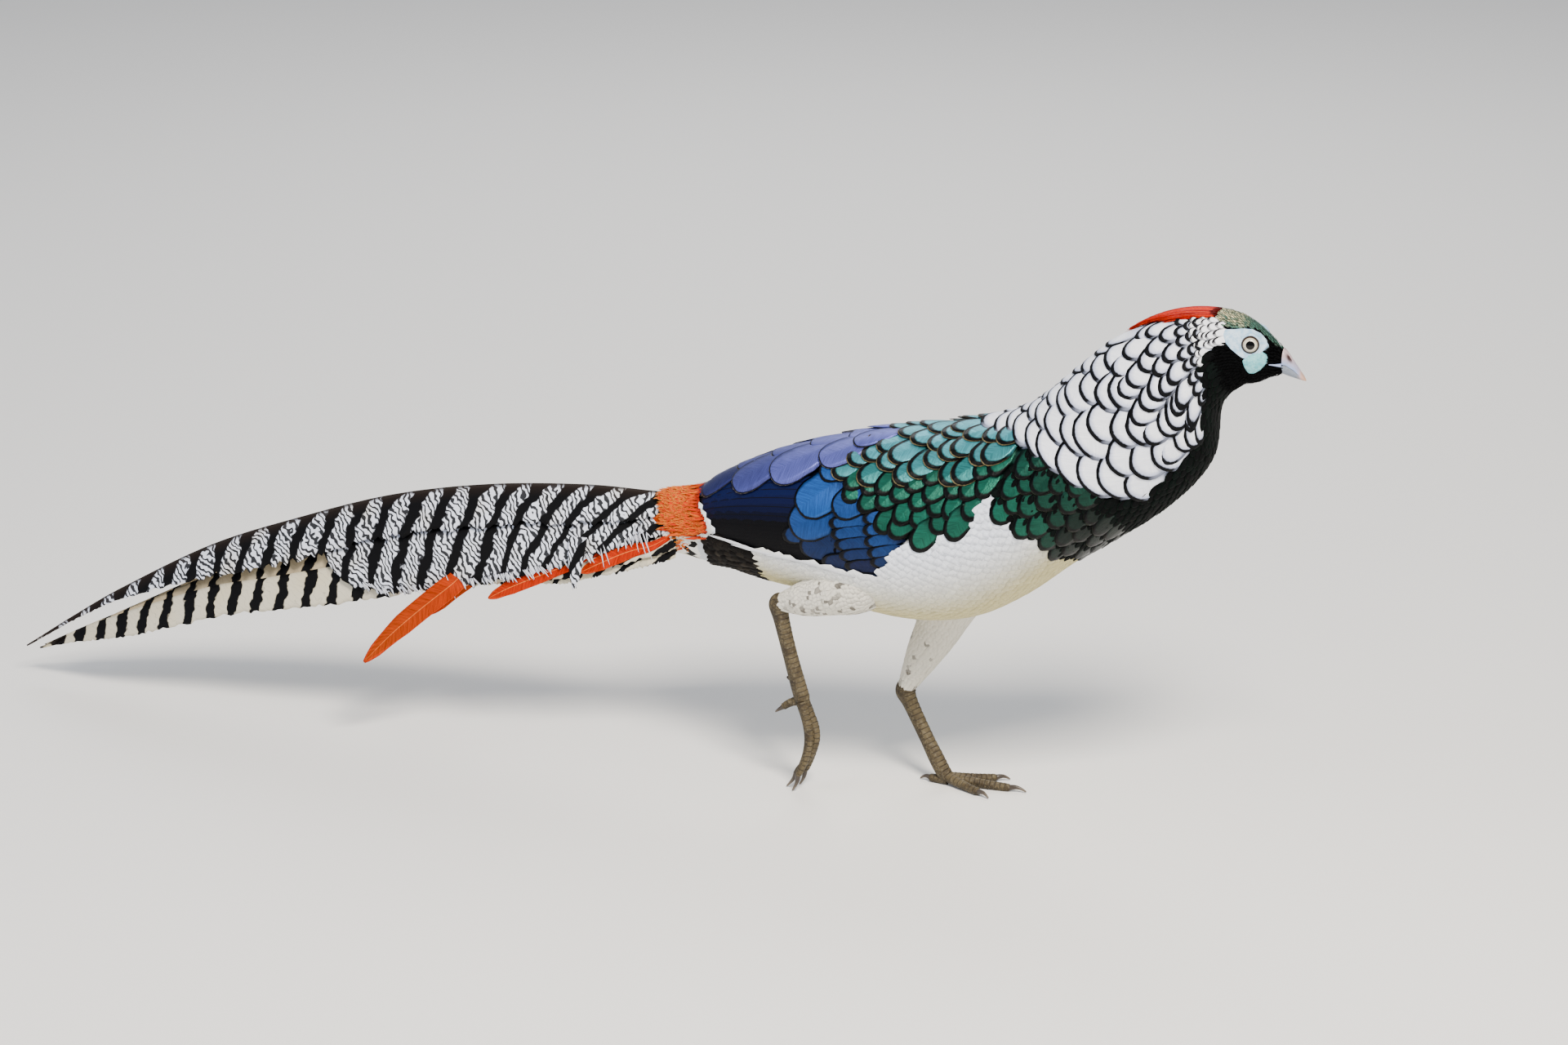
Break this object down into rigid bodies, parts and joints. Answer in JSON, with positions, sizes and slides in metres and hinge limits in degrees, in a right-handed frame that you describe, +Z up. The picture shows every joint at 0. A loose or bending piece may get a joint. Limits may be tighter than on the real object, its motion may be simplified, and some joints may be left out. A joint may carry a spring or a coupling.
{
  "type": "lady amhersts pheasant",
  "caption": "Life-size still model of a male long-tailed pheasant stepping forward, with a scalloped white cape, red crest, green and blue wings and a long barred tail.",
  "frame": {"origin": "on the floor, below the middle of the bird's length and breadth", "axes": "+X along the bird from the tail tip to the bill, +Y to the bird's left, +Z up"},
  "size_m": [1.0967, 0.1403, 0.4214],
  "materials": {
    "dark_plumage": "black-green body feathers, teal scallops on the mantle, white belly",
    "cape_plumage": "white feathers edged in blue-black",
    "crown_plumage": "short bronze-green feathers, pale blue bare skin round the eye",
    "crest_plumage": "glossy hair-like red feathers",
    "wing_plumage": "iridescent green and blue feathers with black edges",
    "rump_plumage": "loose orange and yellow feathers",
    "tail_plumage": "white feathers with black bars and fine wavy lines",
    "boot_plumage": "short white feathers flecked with brown",
    "leg_skin": "scaled grey-brown skin",
    "claw_horn": "dark horn",
    "bill_horn": "smooth blue-grey horn",
    "eye": "wet, pale iris and black pupil"
  },
  "bodies": {
    "root": {"torso": "dark_plumage", "neck": "cape_plumage", "head": "crown_plumage", "crest": "crest_plumage", "eye_right": "eye", "eye_left": "eye", "bill_upper": "bill_horn", "bill_lower": "bill_horn", "wing_right": "wing_plumage", "wing_left": "wing_plumage", "rump": "rump_plumage", "coverts_right": "rump_plumage", "coverts_left": "rump_plumage", "tail_centre": "tail_plumage", "tail_side_right": "tail_plumage", "tail_side_left": "tail_plumage", "thigh_right": "boot_plumage", "thigh_left": "boot_plumage", "shank_right": "leg_skin", "shank_left": "leg_skin", "foot_right": "leg_skin", "foot_left": "leg_skin", "claw_right_inner": "claw_horn", "claw_right_middle": "claw_horn", "claw_right_outer": "claw_horn", "claw_right_hind": "claw_horn", "claw_left_inner": "claw_horn", "claw_left_middle": "claw_horn", "claw_left_outer": "claw_horn", "claw_left_hind": "claw_horn"}
  },
  "joints": []
}
